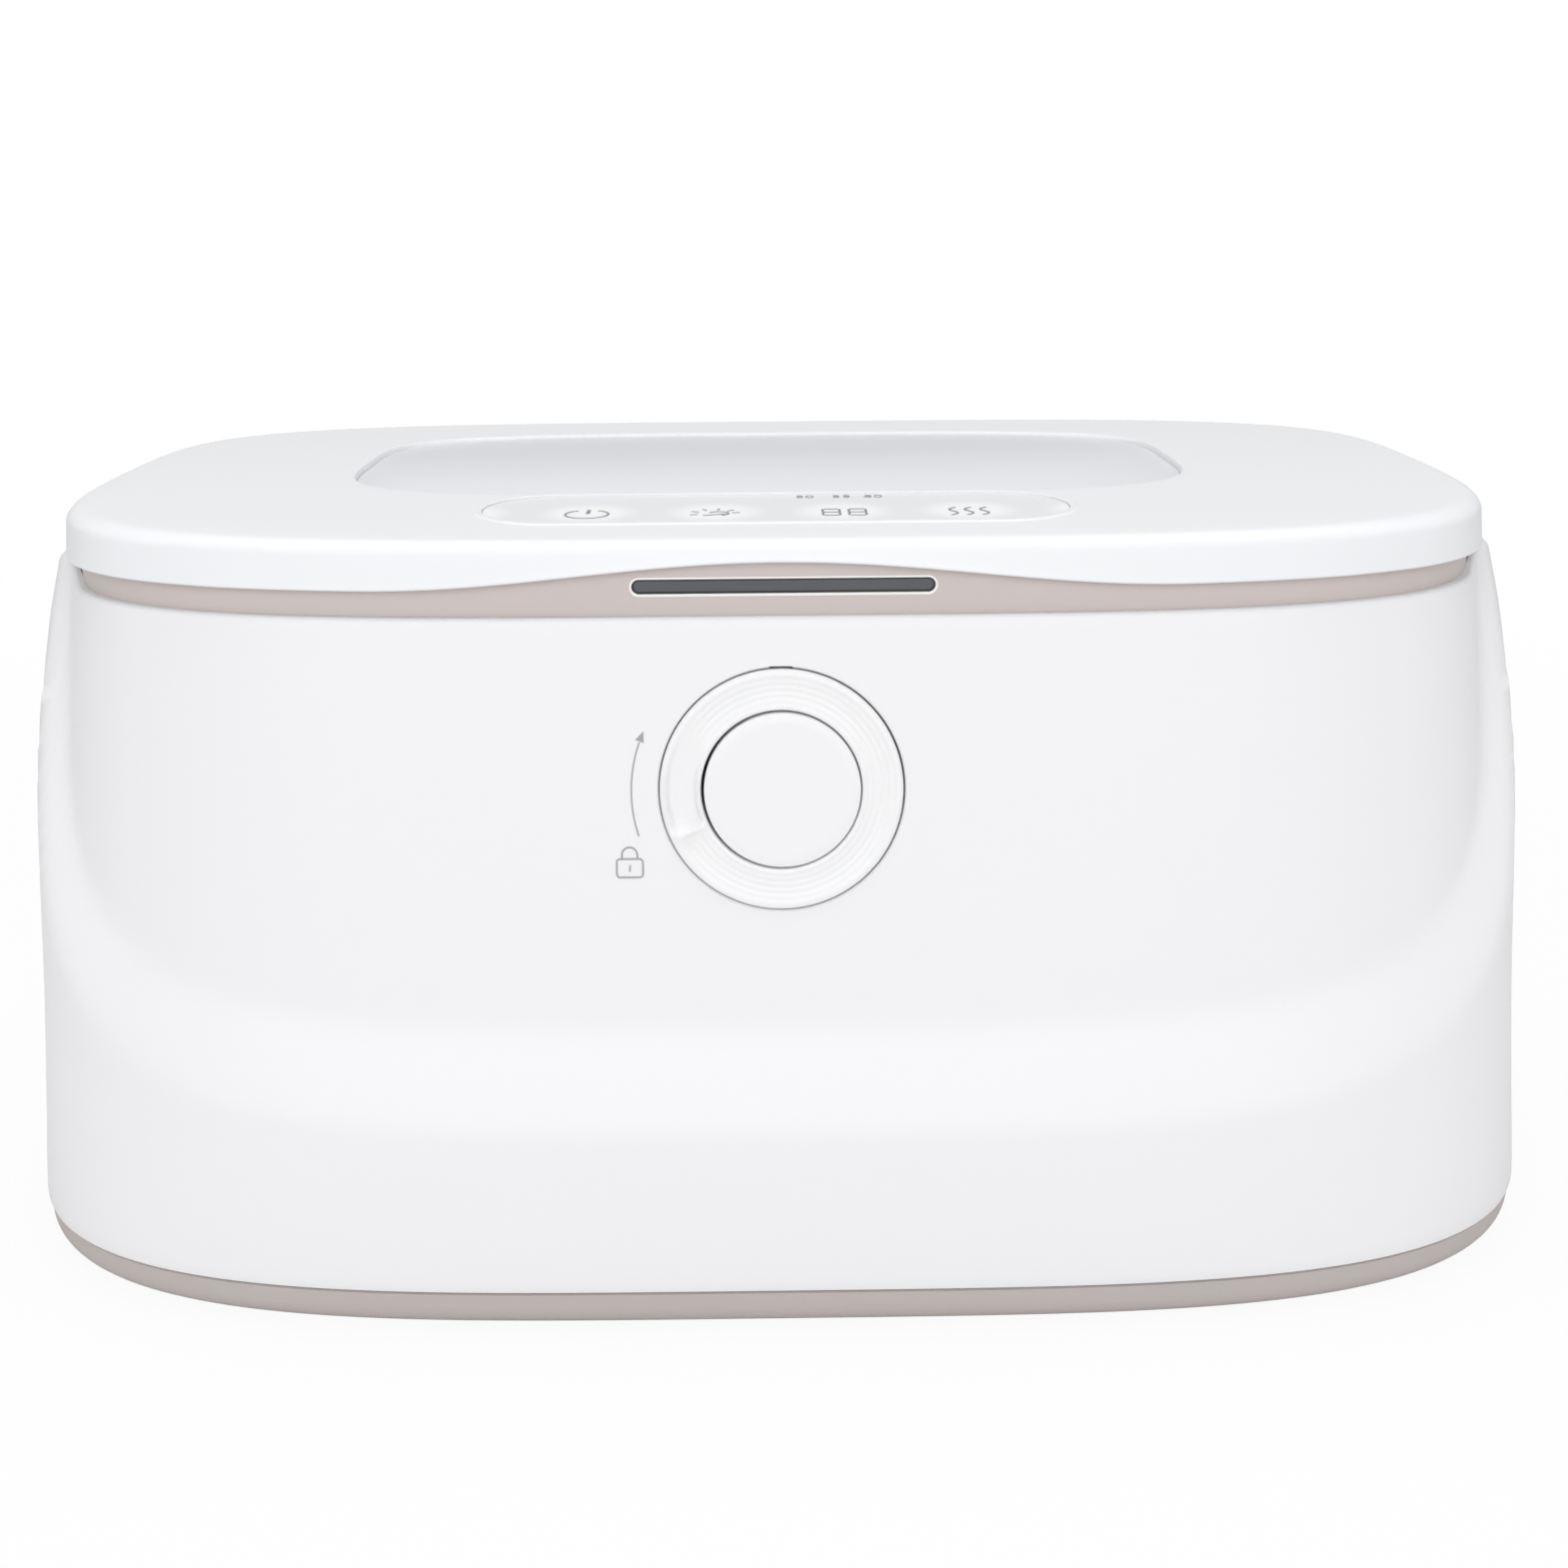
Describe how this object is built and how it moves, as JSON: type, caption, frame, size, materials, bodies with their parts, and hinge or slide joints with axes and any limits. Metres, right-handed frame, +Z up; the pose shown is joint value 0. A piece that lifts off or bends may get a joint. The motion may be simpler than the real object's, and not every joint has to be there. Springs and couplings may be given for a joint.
{
  "type": "baby wipe warmer",
  "caption": "Lidded wipe warmer with a hinged touch-control lid, a heated tub, a light slot and a front release button in a locking ring.",
  "frame": {"origin": "centre of the footprint, on the surface the feet stand on", "axes": "+Z up, the front with the button looks along -Y, X runs along the length"},
  "size_m": [0.2502, 0.165, 0.1181],
  "materials": {
    "white": "satin moulded ABS",
    "lid_white": "satin moulded ABS, a little glossier",
    "pan_grey": "warm taupe, lightly textured moulding",
    "rubber": "soft grey",
    "steel": "plain",
    "taupe": "warm taupe, satin",
    "smoked": "smoked translucent lens",
    "board": "green circuit board",
    "tub_white": "natural white polypropylene",
    "aluminium": "rolled sheet",
    "film": "amber heater film",
    "foam": "glass wool pad",
    "dark": "black moulding",
    "button_white": "gloss moulded ABS",
    "housing_grey": "glass-filled nylon",
    "spring": "spring steel",
    "window": "frosted translucent cover",
    "panel": "printed touch film",
    "seal": "soft silicone",
    "brass": "plain"
  },
  "bodies": {
    "base": {"outer_shell": "white", "base_pan": "pan_grey", "rubber_feet": "rubber", "base_screws": "steel", "collar": "taupe", "light_window": "smoked", "light_board": "board", "wipe_tub": "tub_white", "heater_plate": "aluminium", "heater_film": "film", "insulation_pad": "foam", "temperature_sensor": "brass", "thermal_fuse": "brass", "heater_retainer": "steel", "main_board": "board", "board_components": "dark", "dc_jack": "dark", "lock_housing": "housing_grey", "latch_leaf": "housing_grey", "button_spring": "spring", "hinge_pin": "steel"},
    "lid": {"lid_cover": "lid_white", "lid_window": "window", "touch_panel": "panel", "touch_board": "board", "digit_display": "dark", "lid_liner": "tub_white", "lid_gasket": "seal", "lid_screws": "steel", "night_light_board": "board", "lid_striker": "steel"},
    "ring": {"lock_ring": "white"},
    "button": {"release_button": "button_white"}
  },
  "joints": [
    {"name": "lid_hinge", "type": "hinge", "parent": "base", "child": "lid", "pos_m": [0, 0.073, 0.1065], "axis": [-1, 0, 0], "range_deg": [0, 100]},
    {"name": "lock_ring_turn", "type": "hinge", "parent": "base", "child": "ring", "pos_m": [0, -0.07169, 0.0819], "axis": [0, 0.9936, -0.1132], "range_deg": [0, 45]},
    {"name": "button_press", "type": "slide", "parent": "base", "child": "button", "axis": [0, 0.9936, -0.1132], "range_m": [0, 0.002], "stiffness_N_per_m": 400, "springref_m": -0.002, "deforming": ["button_spring", "latch_leaf"]}
  ]
}
